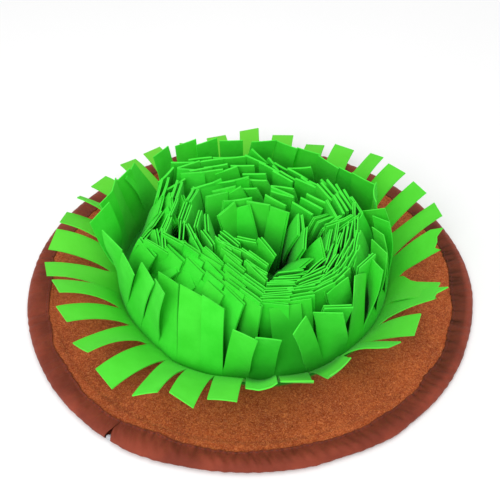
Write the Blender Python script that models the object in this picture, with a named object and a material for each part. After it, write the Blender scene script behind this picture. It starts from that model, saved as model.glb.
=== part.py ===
"""Snuffle mat: a round cloth base with a drawstring rim and rows of fringed felt strips.

Metres, +Z up. The origin is the middle of the underside. +X runs to the right of a person
who sits at -Y, and directions round the mat are degrees from +X towards +Y.
"""

import math
import random

import bmesh
import bpy
from mathutils import Vector

# ------------------------------------------------------------------ sizes of the base
RIM_RADIUS = 0.220           # outer edge of the nylon binding
GAP = 0.0003                 # pieces that touch are this far apart
PATCH_RADIUS = 0.1155        # anti-slip patch under the middle
PATCH_THICKNESS = 0.0009
NYLON_THICKNESS = 0.0009
FELT_THICKNESS = 0.0022
SHEET_RADIUS = 0.207         # cut edge of the felt and of the nylon sheet below it
STEP_LENGTH = 0.003          # over this length a sheet climbs onto the piece below it
SHEET_SIDES = 64

# ------------------------------------------------------------------ binding and drawstring
BINDING_STEPS = 80
NOTCH_DIRECTION = -121.0     # where the two ends of the binding meet
NOTCH_WIDTH = 0.0052         # at the rim
NOTCH_DEPTH = 0.0095
SEAM_SLIT = 0.0006           # between the two ends, inside the notch
CORD_RADIUS = 0.0021
CORD_INSET = 0.0068          # from the rim to the cord's middle
CORD_MOUTH_INSET = 0.0042    # the same where the cord comes out of the binding
CORD_POINTS = 78
CORD_PEEK = 0.0030           # bare end outside the binding
CORD_TUCK = 0.0080           # the other end stops this far short of the notch, inside
MOUTH_SHARE = 0.03           # share of the cord that bends out to the notch

# Section of the folded binding, as distance in from the rim and height above the ground.
BINDING_SKIN = (             # outside, from the top flap round the rim to the bottom flap
    (0.0175, 0.0058),
    (0.0135, 0.0064),
    (0.0070, 0.0078),
    (0.0022, 0.0066),
    (0.0000, 0.0038),
    (0.0016, 0.0012),
    (0.0050, 0.0000),
    (0.0215, 0.0000),
)
BINDING_LINING = (           # inside, back from the bottom flap to the top flap
    (0.0215, 0.0009),
    (0.0052, 0.0009),
    (0.0025, 0.0019),
    (0.0010, 0.0038),
    (0.0029, 0.0059),
    (0.0070, 0.0069),
    (0.0130, 0.0056),
    (0.0175, 0.0049),
)
CREST_POINTS = (1, 2, 3, 13, 14)   # section points that lift and sink with the gathers
GATHER_HEIGHT = 0.0006
GATHER_LIFT = (-0.3, 1.0)    # shares of that height between which the crest wanders
GATHER_DEPTH = 0.0005
# Bulges of the rim, whose soft channel isn't quite round: direction, half width, depth.
RIM_BULGES = (
    (-118.0, 12.0, 0.0036),
    (-137.0, 10.0, 0.0014),
    (-59.0, 7.0, 0.0014),
)
BULGE_WIDTH = 0.0215         # from the rim in, over which a bulge dies away

# ------------------------------------------------------------------ the fringed strips
STRIP_ROWS = 11
INNER_SEAM_RADIUS = 0.1225   # sewn line of the first inner strip
CORE_SEAM_RADIUS = 0.0145    # sewn line of the innermost strip
CORE_OFFSET = (0.012, -0.014)      # the rows close in on a point right of and before the middle
LOW_ROWS = 1                 # inner rows that stand outside the patch, on the low felt
BAND_WIDTH = 0.0026          # uncut felt along the sewn line of an inner strip
BAND_HEIGHT = 0.0040
BAND_TOP = 2                 # number of the side of a band's section that faces up
SLIT = 0.0013                # cut between two tabs
TAB_LENGTH = 0.075           # from the sewn line to the cut end
LENGTH_RANGE = (0.89, 0.97)  # share of it above the band, which varies from tab to tab
TAB_THICKNESS = 0.0024
TIP_THICKNESS = 0.0020
LEAF_THICKNESS = 0.0016      # a single leaf, as on the outermost strip
TIP_SPACE = 0.0012           # least space between two tab ends of one strip
TAB_BOW = 0.0030             # how far a standing tab bulges outwards at half height

# Inner rows from outside in: lengths of strip in the row, tabs on each, and where it starts.
INNER_ROWS = (
    # lengths, tabs, start
    (4, 7, -86.0),
    (4, 6, -86.0),
    (3, 7, -86.0),
    (3, 6, -86.0),
    (3, 5, -86.0),
    (3, 5, -86.0),
    (3, 4, -86.0),
    (3, 3, -40.0),
    (3, 2, 20.0),
    (1, 3, 75.0),
)
TIP_RADIUS = 0.106           # tab ends of the outermost inner row
CORE_TIP_RADIUS = 0.0165
# Bulges of the rows at the height of the tab ends: direction, half width, depth.
TIP_BULGES = (
    (-86.0, 20.0, 0.005),
    (-130.0, 26.0, -0.013),
    (-45.0, 24.0, -0.004),
    (0.0, 34.0, -0.010),
    (90.0, 60.0, 0.012),
)

# The outermost strip is creased along its seam: one leaf stands and the other lies out.
CREASE_GAP = 0.0012          # the two leaves keep this far apart at their crease
APRON_WIDTH = 0.0030         # uncut felt of the lying leaf, outside the seam
TAB_WIDEST = 0.0250
STANDING_BENDS = (0.028, 0.052, 0.075)     # lengths from the seam at which a tab bends
LYING_BENDS = (0.017, 0.036, 0.056, 0.075)
TURN_GROWTH = (0.55, 1.45)   # share of its turns that a standing tab has at its foot and its end
LYING_BOW = 22.0             # a lying tab starts this much steeper and ends this much flatter
SIDE_LENGTH = 0.020          # a lying tab takes up its turn to the side over this length
TWIST_LENGTH = 0.060
OUTER_SEAM = (
    # direction, radius
    (-154.0, 0.130),
    (-140.0, 0.129),
    (-129.0, 0.130),
    (-119.0, 0.134),
    (-100.0, 0.135),
    (-80.0, 0.139),
    (-50.0, 0.136),
    (-20.0, 0.137),
    (10.0, 0.140),
    (40.0, 0.142),
    (90.0, 0.141),
    (135.0, 0.138),
    (175.0, 0.133),
)
# Lying tabs in lengths of strip: directions of the two sides of each tab, and in degrees its
# slope, its turn to the side and its twist.
LYING_LENGTHS = (
    # start, end, slope, side, twist
    (
        (-176.6, -164.7, 22.0, -10.0, -14.0),
        (-164.7, -154.0, 39.0, -2.0, -15.0),
        (-154.0, -144.0, 34.0, -5.0, -2.0),
        (-144.0, -132.0, 30.0, 2.0, -21.0),
    ),
    (
        (-132.0, -121.4, 26.0, 7.0, 4.0),
        (-121.4, -112.0, 33.0, 7.0, -25.0),
        (-112.0, -102.3, 37.0, 5.0, 8.0),
        (-102.3, -91.5, 42.0, 4.0, -19.0),
    ),
    (
        (-91.5, -80.8, 50.0, 2.0, 10.0),
        (-80.8, -69.5, 45.0, 0.0, 0.0),
        (-69.5, -58.0, 52.0, -9.0, 3.0),
        (-58.0, -46.5, 48.0, 1.0, 17.0),
    ),
    (
        (-46.5, -35.1, 50.0, 1.0, -6.0),
        (-35.1, -22.6, 43.0, 4.0, 18.0),
        (-22.6, -9.7, 53.0, -18.0, 12.0),
        (-9.7, 3.8, 60.0, -11.0, -10.0),
    ),
    (
        (3.8, 15.5, 40.0, 9.0, 10.0),
        (15.5, 26.5, 46.0, 4.0, 7.0),
        (26.5, 38.0, 56.0, -3.0, 5.0),
        (38.0, 48.5, 58.0, -9.0, 30.0),
    ),
    (
        (48.5, 60.0, 27.0, 9.0, 6.0),
        (60.0, 71.0, 17.0, 7.0, 20.0),
        (71.0, 84.5, 24.0, 3.0, 5.0),
        (84.5, 95.3, 31.0, 1.0, 29.0),
    ),
    (
        (95.3, 106.5, 22.0, 0.0, -12.0),
        (106.5, 117.5, 19.0, -5.0, -28.0),
        (117.5, 128.5, 26.0, 3.0, -9.0),
        (128.5, 139.5, 24.0, -2.0, -16.0),
    ),
    (
        (139.5, 150.5, 22.0, 0.0, -5.0),
        (150.5, 161.5, 42.0, 12.0, -42.0),
        (161.5, 172.5, 34.0, 4.0, -18.0),
        (172.5, 183.4, 28.0, -4.0, 14.0),
    ),
)
# Standing tabs of the same strip, in lengths.
STANDING_LENGTHS = (
    # start, end, lean outwards, side, twist
    (
        (-176.5, -165.0, -1.0, 11.0, -36.0),
        (-165.0, -154.0, -6.0, 9.5, -5.6),
        (-154.0, -140.5, -11.0, 3.0, 1.3),
        (-140.5, -129.0, -8.0, 1.0, 5.0),
    ),
    (
        (-129.0, -118.5, -22.0, -11.0, 10.0),
        (-118.5, -109.0, -23.0, -6.0, -10.0),
        (-109.0, -100.0, -17.0, -2.0, 10.0),
        (-100.0, -90.5, 7.0, 4.5, 12.3),
    ),
    (
        (-90.5, -81.5, 9.0, 2.2, -1.1),
        (-81.5, -69.5, -16.0, 0.0, 4.3),
        (-69.5, -62.0, 0.0, -13.0, -13.0),
        (-62.0, -51.0, -3.0, -5.2, -9.9),
    ),
    (
        (-51.0, -41.0, -6.0, -6.2, 5.2),
        (-41.0, -30.0, -14.0, -2.0, -16.0),
        (-30.0, -18.0, -10.0, -3.0, -31.0),
        (-18.0, -9.0, -14.0, 5.0, -40.0),
        (-9.0, 0.0, -12.0, 3.0, -48.0),
    ),
    (
        (0.0, 12.0, -16.0, -2.0, -55.0),
        (12.0, 25.0, -10.0, -4.0, 25.0),
        (25.0, 38.0, -10.0, -2.5, -6.3),
        (38.0, 49.0, -14.0, -4.4, -0.6),
    ),
    (
        (49.0, 60.0, -16.0, -4.0, 3.4),
        (60.0, 71.0, -13.0, -5.2, 5.2),
        (71.0, 82.0, -12.0, -6.0, 29.0),
        (82.0, 93.0, -11.0, -6.0, -6.0),
    ),
    (
        (93.0, 103.5, -10.0, 2.0, 8.0),
        (103.5, 114.0, -6.0, 4.0, -10.0),
        (114.0, 124.0, 0.0, 2.0, 10.0),
        (124.0, 134.0, 2.0, 6.0, -14.0),
        (134.0, 145.0, 5.0, 5.4, -9.0),
    ),
    (
        (145.0, 154.0, 6.0, 3.6, 5.4),
        (154.0, 163.5, 7.0, 1.9, -6.8),
        (163.5, 172.5, 7.0, 2.0, 20.0),
        (172.5, 183.5, 8.0, 1.0, 55.0),
    ),
)

COLOURS = {                  # base colour and roughness
    "felt": ((0.33, 0.075, 0.022), 0.95),
    "nylon": ((0.21, 0.05, 0.032), 0.6),
    "grip": ((0.045, 0.055, 0.085), 0.85),
    "cord": ((0.55, 0.56, 0.58), 0.55),
    "green": ((0.03, 0.62, 0.05), 0.85),
}

SEED = 7
UP = Vector((0.0, 0.0, 1.0))

# ------------------------------------------------------------------ heights worked out
SHEET_RISE = PATCH_THICKNESS + GAP
FELT_RISE = SHEET_RISE + NYLON_THICKNESS + GAP          # underside of the felt, raised
FELT_LOW_TOP = NYLON_THICKNESS + GAP + FELT_THICKNESS   # felt between patch and binding
FELT_HIGH_TOP = FELT_RISE + FELT_THICKNESS              # felt over the patch


def clear_scene():
    for thing in list(bpy.data.objects):
        bpy.data.objects.remove(thing, do_unlink=True)


def material(name):
    colour, roughness = COLOURS[name]
    made = bpy.data.materials.new(name)
    made.use_nodes = True
    shader = made.node_tree.nodes["Principled BSDF"]
    shader.inputs["Base Color"].default_value = (*colour, 1.0)
    shader.inputs["Roughness"].default_value = roughness
    made.diffuse_color = (*colour, 1.0)
    return made


def mix(start, end, share):
    return start + (end - start) * share


def smooth(share):
    """A share of the way that starts and ends gently."""
    share = min(1.0, max(0.0, share))
    return share * share * (3.0 - 2.0 * share)


def bump(direction, middle, half_width):
    """A smooth bump of height 1 round the direction called middle."""
    away = (direction - middle + 180.0) % 360.0 - 180.0
    return math.exp(-((away / half_width) ** 2))


def read_round(table, direction):
    """Value at a direction from a table of directions and values that closes on itself."""
    last = (table[-1][0] - 360.0, table[-1][1])
    first = (table[0][0] + 360.0, table[0][1])
    rows = (last, *table, first)
    direction = (direction + 180.0) % 360.0 - 180.0
    for low, high in zip(rows, rows[1:]):
        if low[0] <= direction <= high[0]:
            return mix(low[1], high[1], (direction - low[0]) / (high[0] - low[0]))
    return table[0][1]


def polar(radius, direction, height, middle=(0.0, 0.0)):
    turn = math.radians(direction)
    return (middle[0] + radius * math.cos(turn), middle[1] + radius * math.sin(turn), height)


# ------------------------------------------------------------------ closed bodies from rings
class Body:
    """Corners and faces of one closed body, made of rings joined side by side."""

    def __init__(self):
        self.corners = []
        self.faces = []

    def ring(self, points):
        first = len(self.corners)
        self.corners.extend(points)
        return list(range(first, first + len(points)))

    def join(self, ring, following, skip=()):
        """Quads between two rings, but for the sides whose numbers are in skip."""
        count = len(ring)
        for side in range(count):
            if side not in skip:
                ahead = (side + 1) % count
                self.faces.append((ring[side], ring[ahead], following[ahead], following[side]))

    def cap(self, ring):
        self.faces.append(tuple(ring))

    def join_leaf(self, ring, following):
        """Joins two sections of four corners, opposite faces cut along the same diagonal.

        A twisted leaf then keeps its thickness.
        """
        for side in range(4):
            ahead = (side + 1) % 4
            a, b, c, d = ring[side], ring[ahead], following[ahead], following[side]
            if side < 2:
                self.faces.extend(((a, b, c), (a, c, d)))
            else:
                self.faces.extend(((a, b, d), (b, c, d)))

    def grow(self, root, sections):
        """Carries a face of four corners out through the sections and closes its end."""
        for section in sections:
            ring = self.ring(section)
            self.join_leaf(root, ring)
            root = ring
        self.cap(root)

    def build(self, name, surface, smooth_angle=35.0):
        mesh = bpy.data.meshes.new(name)
        mesh.from_pydata(self.corners, [], self.faces)
        work = bmesh.new()
        work.from_mesh(mesh)
        bmesh.ops.recalc_face_normals(work, faces=work.faces)
        work.to_mesh(mesh)
        work.free()
        mesh.shade_smooth()
        mesh.set_sharp_from_angle(angle=math.radians(smooth_angle))
        mesh.materials.append(surface)
        thing = bpy.data.objects.new(name, mesh)
        bpy.context.scene.collection.objects.link(thing)
        return thing


# ------------------------------------------------------------------ sheets of the base
def turned_sheet(name, section, surface):
    """A round sheet from half of its section, given from the top middle to the bottom."""
    mesh = bpy.data.meshes.new(name)
    corners = [(radius, 0.0, height) for radius, height in section]
    mesh.from_pydata(corners, [(at, at + 1) for at in range(len(corners) - 1)], [])
    thing = bpy.data.objects.new(name, mesh)
    bpy.context.scene.collection.objects.link(thing)
    screw = thing.modifiers.new("turn", "SCREW")
    screw.steps = SHEET_SIDES
    screw.render_steps = SHEET_SIDES
    screw.use_merge_vertices = True
    screw.merge_threshold = 0.00001
    screw.use_smooth_shade = False
    mesh.materials.append(surface)
    return thing


def stepped_edge(bottom):
    """Radius and height of a sheet's underside, from its middle to its edge.

    The sheet lies over the patch, drops to a low ring and climbs onto the binding's flap.
    """
    flap_edge = RIM_RADIUS - BINDING_SKIN[-1][0] - GATHER_DEPTH
    low = bottom - SHEET_RISE
    return (
        (0.0, bottom),
        (PATCH_RADIUS + 2 * GAP, bottom),
        (PATCH_RADIUS + 2 * GAP + STEP_LENGTH, low),
        (flap_edge - 2 * GAP - STEP_LENGTH, low),
        (flap_edge - 2 * GAP, bottom),
        (SHEET_RADIUS, bottom),
    )


def stepped_sheet(name, bottom, thickness, surface):
    underside = stepped_edge(bottom)
    top = [(radius, height + thickness) for radius, height in underside]
    turned_sheet(name, (*top, *reversed(underside)), surface)


def build_sheets(nylon, felt, grip):
    patch = ((0.0, PATCH_THICKNESS), (PATCH_RADIUS, PATCH_THICKNESS), (PATCH_RADIUS, 0.0), (0.0, 0.0))
    turned_sheet("grip_patch", patch, grip)
    stepped_sheet("nylon_sheet", SHEET_RISE, NYLON_THICKNESS, nylon)
    stepped_sheet("felt_sheet", FELT_RISE, FELT_THICKNESS, felt)


# ------------------------------------------------------------------ binding and drawstring
def notch_setback(inset):
    """How far the end of the binding keeps from the notch's middle, at a distance in."""
    opening = max(0.0, 1.0 - inset / NOTCH_DEPTH)
    return (SEAM_SLIT + (NOTCH_WIDTH - SEAM_SLIT) * opening) / 2


def channel_radius(inset, direction):
    """Distance from the mat's middle of a point of the channel that lies this far in."""
    bulge = sum(depth * bump(direction, middle, width) for middle, width, depth in RIM_BULGES)
    return RIM_RADIUS - inset + bulge * (1.0 - inset / BULGE_WIDTH)


def binding_ring(step, ripple, lift):
    """Section of the binding at one of its steps; the end ones are cut to the notch."""
    points = []
    share = step / BINDING_STEPS
    direction = NOTCH_DIRECTION + 360.0 * share
    for number, (inset, height) in enumerate(BINDING_SKIN + BINDING_LINING):
        radius = channel_radius(inset, direction) - ripple
        if number in CREST_POINTS:
            height += lift
        setback = math.degrees(notch_setback(inset) / radius)
        start = NOTCH_DIRECTION + setback
        end = NOTCH_DIRECTION + 360.0 - setback
        points.append(polar(radius, mix(start, end, share), height))
    return points


def build_binding(nylon, chance):
    body = Body()
    rings = []
    for step in range(BINDING_STEPS + 1):
        ripple = chance.uniform(0.0, GATHER_DEPTH)
        lift = chance.uniform(*GATHER_LIFT) * GATHER_HEIGHT
        rings.append(body.ring(binding_ring(step, ripple, lift)))
    for ring, following in zip(rings, rings[1:]):
        body.join(ring, following)
    body.cap(rings[0])
    body.cap(rings[-1])
    body.build("rim_binding", nylon)


def cord_point(share):
    """Middle of the drawstring, from its hidden end round the mat to the bare one."""
    hidden = NOTCH_DIRECTION - math.degrees(CORD_TUCK / RIM_RADIUS)
    bare_radius = channel_radius(CORD_MOUTH_INSET, NOTCH_DIRECTION)
    mouth = math.degrees(notch_setback(CORD_MOUTH_INSET) / bare_radius)
    bare = NOTCH_DIRECTION + mouth - math.degrees(CORD_PEEK / bare_radius)
    inset = mix(CORD_MOUTH_INSET, CORD_INSET, smooth(share / MOUTH_SHARE))
    height = NYLON_THICKNESS + GAP + CORD_RADIUS
    direction = mix(bare, hidden + 360.0, share)
    return polar(channel_radius(inset, direction), direction, height)


def build_cord(surface):
    curve = bpy.data.curves.new("drawstring", "CURVE")
    curve.dimensions = "3D"
    curve.bevel_depth = CORD_RADIUS
    curve.bevel_resolution = 2
    curve.use_fill_caps = True
    spline = curve.splines.new("POLY")
    spline.points.add(CORD_POINTS - 1)
    for number, point in enumerate(spline.points):
        point.co = (*cord_point(number / (CORD_POINTS - 1)), 1.0)
    curve.materials.append(surface)
    thing = bpy.data.objects.new("drawstring", curve)
    bpy.context.scene.collection.objects.link(thing)


# ------------------------------------------------------------------ fringed strips
def row_middle(share):
    """Middle of an inner row, from the mat's own (share 0) to the innermost row's (share 1)."""
    return (CORE_OFFSET[0] * share, CORE_OFFSET[1] * share)


def inner_tip_radius(share, direction):
    """Distance of an inner row's tab ends from the row's middle."""
    outside = TIP_RADIUS
    for middle, half_width, depth in TIP_BULGES:
        outside += depth * bump(direction, middle, half_width)
    return mix(outside, CORE_TIP_RADIUS, share)


def leaf_section(middle, span, radii, height, thickness):
    """Four corners of a standing tab, cut level: outside and inside, then back again."""
    (start, end), (start_radius, end_radius) = span, radii
    return [
        polar(start_radius + thickness / 2, start, height, middle),
        polar(start_radius - thickness / 2, start, height, middle),
        polar(end_radius - thickness / 2, end, height, middle),
        polar(end_radius + thickness / 2, end, height, middle),
    ]


def inner_tab(body, root, share, seam, span, base, chance):
    """Grows a standing tab from the root face, bowed, to its row's curve of tab ends."""
    start, end = span
    middle = row_middle(share)
    tip_radii = (inner_tip_radius(share, start), inner_tip_radius(share, end))
    lean = seam - sum(tip_radii) / 2
    length = TAB_LENGTH * chance.uniform(*LENGTH_RANGE)
    rise = math.sqrt(length * length - lean * lean)
    bowed_radii = [mix(seam, radius, 0.5) + TAB_BOW for radius in tip_radii]
    inset = math.degrees(TIP_SPACE / 2 / tip_radii[0])
    tip_span = (start + inset, end - inset)
    body.grow(root, [
        leaf_section(middle, span, bowed_radii, base + rise / 2, TAB_THICKNESS),
        leaf_section(middle, tip_span, tip_radii, base + rise, TIP_THICKNESS),
    ])


def tab_ways(out, across, lean, side):
    """Directions along and across a tab, from its lean outwards and its turn to the side."""
    upright = out * math.sin(lean) + UP * math.cos(lean)
    along = upright * math.cos(side) + across * math.sin(side)
    return along, across * math.cos(side) - upright * math.sin(side)


def outer_tab(body, root, row, height, bends, turns_at):
    """Grows a tab of the outermost strip along a spine that leans, turns aside and twists.

    turns_at gives the lean and the turn to the side at a length from the seam. A tab that leans
    inwards narrows with the ring it stands in.
    """
    start, end, _, _, twist = row
    near, far = (Vector(polar(read_round(OUTER_SEAM, edge), edge, height)) for edge in (start, end))
    across = (far - near).normalized()
    out = across.cross(UP)
    point = (near + far) / 2
    seam_radius = point.xy.length
    share_of_ring = (far - near).length / seam_radius
    before = 0.0
    sections = []
    for bend in bends:
        along, _ = tab_ways(out, across, *turns_at((before + bend) / 2))
        point = point + along * (bend - before)
        along, sideways = tab_ways(out, across, *turns_at(bend))
        face = sideways.cross(along)
        turn = math.radians(twist) * smooth(bend / TWIST_LENGTH)
        width = min(share_of_ring * min(point.xy.length, seam_radius) - SLIT, TAB_WIDEST)
        half = (sideways * math.cos(turn) + face * math.sin(turn)) * width / 2
        depth = (face * math.cos(turn) - sideways * math.sin(turn)) * LEAF_THICKNESS / 2
        low_side, high_side = point - half, point + half
        sections.append([low_side + depth, low_side - depth, high_side - depth, high_side + depth])
        before = bend
    body.grow(root, sections)


def standing_turns(row, station):
    """Lean and turn to the side of a standing tab, at a length from its seam."""
    grown = mix(*TURN_GROWTH, station / TAB_LENGTH)
    return math.radians(row[2]) * grown, math.radians(row[3]) * grown


def lying_turns(row, station):
    """The same of a lying tab, which starts steep and ends flatter."""
    slope = row[2] + LYING_BOW * (1.0 - 2.0 * station / TAB_LENGTH)
    return math.radians(90.0 - slope), math.radians(row[3]) * smooth(station / SIDE_LENGTH)


def tab_spans(start, pitch, count, slit):
    """First and last direction of each tab on a strip."""
    return [(start + pitch * at + slit / 2, start + pitch * (at + 1) - slit / 2)
            for at in range(count)]


def band_ring(radii, heights, direction, middle=(0.0, 0.0)):
    """Section of an uncut band: its inner and outer foot, then its outer and inner top.

    Side BAND_TOP of it is the top.
    """
    (inside, outside), (low, high) = radii, heights
    return [
        polar(inside, direction, low, middle),
        polar(outside, direction, low, middle),
        polar(outside, direction, high, middle),
        polar(inside, direction, high, middle),
    ]


def build_fringe(name, band_at, spans, grow_tab, surface):
    """A length of uncut band with a tab for each span, grown from the band's top.

    band_at gives the band's section at a direction.
    """
    body = Body()
    first = None
    before = None
    for number, span in enumerate(spans):
        start, end = [body.ring(band_at(direction)) for direction in span]
        if before is None:
            first = start
        else:
            body.join(before, start)
        body.join(start, end, skip=(BAND_TOP,))
        root = [start[BAND_TOP], start[BAND_TOP + 1], end[BAND_TOP + 1], end[BAND_TOP]]
        grow_tab(body, root, number, span)
        before = end
    body.cap(first)
    body.cap(before)
    body.build(name, surface)


def build_inner_row(row, lengths, tabs, start, surface, chance):
    """A row of strip folded on its seam, whose two leaves stand as one doubled fringe."""
    share = (row - 1) / (STRIP_ROWS - 2)
    middle = row_middle(share)
    seam = mix(INNER_SEAM_RADIUS, CORE_SEAM_RADIUS, share)
    radii = (seam - BAND_WIDTH / 2, seam + BAND_WIDTH / 2)
    low = (FELT_LOW_TOP if row <= LOW_ROWS else FELT_HIGH_TOP) + GAP
    high = low + BAND_HEIGHT
    pitch = 360.0 / (lengths * tabs)
    slit = math.degrees(SLIT / seam)

    def band_at(direction):
        return band_ring(radii, (low, high), direction, middle)

    def grow_tab(body, root, number, span):
        inner_tab(body, root, share, seam, span, high, chance)

    for length in range(lengths):
        spans = tab_spans(start + pitch * tabs * length, pitch, tabs, slit)
        build_fringe(f"strip_row{row:02d}_{length + 1}", band_at, spans, grow_tab, surface)


def cut_spans(rows):
    """Directions of the two sides of each tab, inside the cuts between them."""
    spans = []
    for start, end, *_ in rows:
        half = math.degrees(SLIT / 2 / read_round(OUTER_SEAM, start))
        spans.append((start + half, end - half))
    return spans


def build_standing_length(name, rows, surface):
    """A length of the outermost strip's standing leaf, just inside its crease."""
    low = FELT_LOW_TOP + GAP

    def band_at(direction):
        crease = read_round(OUTER_SEAM, direction) - CREASE_GAP
        return band_ring((crease - LEAF_THICKNESS, crease), (low, low + BAND_HEIGHT), direction)

    def grow_tab(body, root, number, span):
        row = rows[number]
        outer_tab(body, root, row, low, STANDING_BENDS, lambda station: standing_turns(row, station))

    build_fringe(name, band_at, cut_spans(rows), grow_tab, surface)


def build_lying_length(name, rows, surface):
    """A length of the same strip's lying leaf, with its uncut apron outside the crease."""
    low = FELT_LOW_TOP + GAP

    def band_at(direction):
        seam = read_round(OUTER_SEAM, direction)
        return band_ring((seam, seam + APRON_WIDTH), (low, low + LEAF_THICKNESS), direction)

    def grow_tab(body, root, number, span):
        row = rows[number]
        outer_tab(body, root, row, low, LYING_BENDS, lambda station: lying_turns(row, station))

    build_fringe(name, band_at, cut_spans(rows), grow_tab, surface)


def build_strips(surface, chance):
    for length, rows in enumerate(STANDING_LENGTHS, 1):
        build_standing_length(f"strip_standing_{length}", rows, surface)
    for length, rows in enumerate(LYING_LENGTHS, 1):
        build_lying_length(f"strip_lying_{length}", rows, surface)
    for row, (lengths, tabs, start) in enumerate(INNER_ROWS, 1):
        build_inner_row(row, lengths, tabs, start, surface, chance)


def build_mat():
    clear_scene()
    chance = random.Random(SEED)
    nylon = material("nylon")
    build_sheets(nylon, material("felt"), material("grip"))
    build_binding(nylon, chance)
    build_cord(material("cord"))
    build_strips(material("green"), chance)


build_mat()
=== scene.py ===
"""Looks of the snuffle mat: felt, nylon rim, drawstring and the rose of fringed strips."""

import math
import random

import bpy
import numpy as np
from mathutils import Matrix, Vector


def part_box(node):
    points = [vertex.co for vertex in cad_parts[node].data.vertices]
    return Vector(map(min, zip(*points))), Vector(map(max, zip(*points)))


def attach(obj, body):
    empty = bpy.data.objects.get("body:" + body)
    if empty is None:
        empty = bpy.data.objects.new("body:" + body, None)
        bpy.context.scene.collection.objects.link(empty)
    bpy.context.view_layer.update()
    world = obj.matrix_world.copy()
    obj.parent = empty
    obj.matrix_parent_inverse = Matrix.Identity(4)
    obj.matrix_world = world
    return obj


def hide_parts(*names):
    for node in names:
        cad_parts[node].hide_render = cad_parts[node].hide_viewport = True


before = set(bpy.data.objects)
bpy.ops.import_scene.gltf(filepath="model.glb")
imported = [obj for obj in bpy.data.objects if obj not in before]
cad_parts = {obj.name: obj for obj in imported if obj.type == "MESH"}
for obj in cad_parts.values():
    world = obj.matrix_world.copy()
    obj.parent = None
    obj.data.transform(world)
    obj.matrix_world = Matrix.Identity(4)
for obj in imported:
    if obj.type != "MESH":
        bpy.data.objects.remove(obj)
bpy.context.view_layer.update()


def metres(rows, first=1):
    """A table's rows with their columns from first on turned from millimetres to metres."""
    return tuple((*row[:first], *(value / 1000 for value in row[first:])) for row in rows)


# ---- sizes from the frame
RIM_RADIUS = 0.220
SEAT_GAP = 0.0003  # between two pieces of cloth that lie on each other
PATCH_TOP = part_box("grip_patch")[1][2]
PATCH_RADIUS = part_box("grip_patch")[1][0]
SHEET_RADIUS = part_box("felt_sheet")[1][0]
FELT_LOW_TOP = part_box("strip_lying_1")[0][2] - SEAT_GAP
FELT_HIGH_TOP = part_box("felt_sheet")[1][2]
FELT_THICKNESS = 0.0022
NYLON_THICKNESS = 0.0009
FLAP_EDGE = 0.198  # inner edge of the binding's bottom flap
STEP_LENGTH = 0.004  # over which a sheet drops from the patch or climbs onto the flap
FREE_FELT = (0.140, 0.199)  # the felt is uneven between these distances from the middle
FREE_FADE = 0.01
FELT_UNEVENNESS = 0.0007
CORD_RADIUS = 0.0021
CORD_HEIGHT = 0.0033  # of the cord's middle
CORD_INSET = 0.0068  # from the rim to the cord's middle
CORD_MOUTH_INSET = 0.0022  # the same in the notch
CORD_PEEK = 0.0030  # bare end outside the binding
CORD_TUCK = 0.008  # the other end stops this far short of the notch
CORD_MOUTH_SHARE = 0.03  # of the cord's length, over which it bends out to the notch
CORD_STEPS = 180
CORD_SIDES = 14

# ---- camera, as the photograph
CAMERA_DISTANCE = 0.700
CAMERA_ELEVATION = 43.0
CAMERA_AIM = (0.0, 0.0355, 0.0)
CAMERA_FOCAL = 47.38  # millimetres on a 36 mm sensor

# ---- sizes of the binding
BINDING_STEPS = 1080
NOTCH_DIRECTION = -121.0
NOTCH_WIDTH = 0.0066
NOTCH_DEPTH = 0.0095
SEAM_SLIT = 0.0006  # between the binding's two ends behind the notch
BINDING_CLOTH = 0.0005
CROWN = (0.0095, 0.0065)  # middle and half width of the puffed top, in from the rim
SEAM_DIP = (0.0195, 0.003)  # the same of the dip at the seam
PUCKER_LIFT = 0.00050  # how high the binding's puckers, gathers and folds stand
GATHER_LIFT = 0.00028
FOLD_LIFT = 0.00045
SEAM_LIFT = 0.00022
SEAM_SWAY = 0.0004  # how far the seam and the rim leave their outline
RIM_SWAY = 0.000175
CREASE_DEPTH = 0.0016
PUCKER_SLANT = 60.0  # puckers and folds run askew, by this much for each metre inwards
# Section of the binding's cloth: millimetres in from the rim and above the ground. Its points up
# to LAST_ON_TOP show from above, those of RIM_POINTS lie round the edge, and from FIRST_BELOW on
# they lie under the felt.
LAST_ON_TOP = 11
RIM_POINTS = (9, 15)
FIRST_BELOW = 17
BINDING_PROFILE = metres((
    (20.7, 5.2), (20.3, 5.7), (19.4, 5.8), (18.4, 5.5), (17.2, 5.8), (15.5, 6.4), (13.5, 6.9),
    (11.2, 7.4), (9, 7.7), (6.8, 7.7), (4.7, 7.3), (2.8, 6.5), (1.3, 5.4), (0.4, 4.1), (0.4, 2.8),
    (1.3, 1.6), (3, 0.8), (5.5, 0.4), (10, 0.3), (15, 0.3), (21.2, 0.3),
), 0)
# Outline of the binding: direction, and millimetres from the middle to the rim and to the sewn
# inner edge.
BINDING_OUTLINE = metres((
    (-176, 220.6, 198.5), (-166, 220.6, 200), (-158, 220.5, 200.4), (-151, 220.6, 203.6),
    (-144, 221.3, 202.3), (-138, 222.2, 203.8), (-131, 222.8, 205.8), (-122, 224, 206),
    (-116.5, 224.7, 203.4), (-111, 223.8, 201.7), (-104, 222, 204), (-94, 221.2, 204.6),
    (-86, 221, 203.4), (-78, 221.2, 202.5), (-71, 220.4, 203.5), (-65, 221.5, 204.2),
    (-58.5, 222.7, 202.9), (-53, 221.4, 203.5), (-47, 221.4, 203.6), (-41, 221.3, 201.3),
    (-33, 220.8, 203), (-24, 220, 200.9), (-16, 220.5, 201.2), (-7, 221.6, 199.5), (4, 221.7, 203),
    (20, 221.1, 200.5), (35, 220.2, 200), (60, 220.4, 201), (90, 220, 199.8), (120, 220.6, 200.8),
    (150, 220, 199), (165, 221.4, 198.5), (174, 221, 205),
))
STITCH_INSET = 0.0186
STITCH_PITCH = 0.0040
STITCH_LENGTH = 0.0027
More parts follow.
